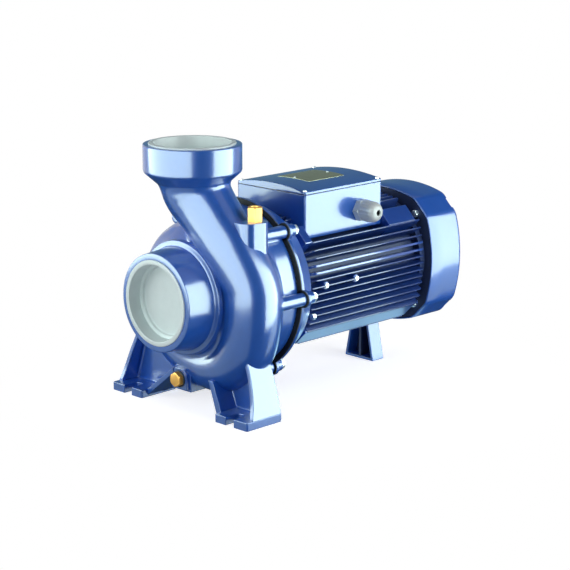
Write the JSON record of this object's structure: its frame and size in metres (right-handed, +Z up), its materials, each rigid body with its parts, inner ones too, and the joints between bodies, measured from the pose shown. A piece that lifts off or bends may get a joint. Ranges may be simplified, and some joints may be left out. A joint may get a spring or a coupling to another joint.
{
  "type": "close-coupled centrifugal pump",
  "caption": "Close-coupled centrifugal pump: cast spiral casing with threaded suction and discharge ports, bolted to a finned electric motor with terminal box, fan cowl and feet.",
  "frame": {"origin": "on the floor under the middle of the pump, midway along its length and between its front feet", "axes": "+Z up, +X along the shaft from the suction port to the fan end, +Y to the side away from the cable gland"},
  "size_m": [0.5274, 0.28, 0.3736],
  "materials": {
    "casing_enamel": "glossy blue enamel on cast iron",
    "frame_enamel": "dark glossy blue enamel on finned cast metal",
    "sheet_enamel": "smooth glossy blue enamel on pressed sheet",
    "box_enamel": "smooth glossy blue enamel",
    "port_plug_plastic": "pale grey moulded plastic",
    "brass": "machined brass",
    "zinc_steel": "zinc plated steel",
    "shaft_steel": "turned steel",
    "gasket_rubber": "black rubber",
    "gland_plastic": "grey moulded nylon",
    "fan_plastic": "black moulded plastic",
    "plate_metal": "dull olive grey anodised plate, bare"
  },
  "bodies": {
    "root": {"pump_casing": "casing_enamel", "suction_port_plug": "port_plug_plastic", "discharge_port_plug": "port_plug_plastic", "priming_plug": "brass", "drain_plug": "brass", "drain_plug_washer": "gasket_rubber", "casing_gasket": "gasket_rubber", "motor_flange": "casing_enamel", "flange_bolt_1": "zinc_steel", "flange_bolt_2": "zinc_steel", "flange_bolt_3": "zinc_steel", "flange_bolt_4": "zinc_steel", "flange_bolt_5": "zinc_steel", "flange_bolt_6": "zinc_steel", "motor_frame": "frame_enamel", "rear_end_shield": "frame_enamel", "tie_bolt_1": "zinc_steel", "tie_bolt_2": "zinc_steel", "tie_bolt_3": "zinc_steel", "tie_bolt_4": "zinc_steel", "fan_cowl": "sheet_enamel", "cooling_fan": "fan_plastic", "motor_shaft": "shaft_steel", "motor_foot": "sheet_enamel", "terminal_box": "box_enamel", "terminal_box_gasket": "gasket_rubber", "terminal_box_lid": "box_enamel", "lid_screws": "zinc_steel", "nameplate": "plate_metal", "gland_body": "gland_plastic", "gland_nut": "gland_plastic", "gland_seal": "gasket_rubber", "frame_screws": "zinc_steel"}
  },
  "joints": []
}
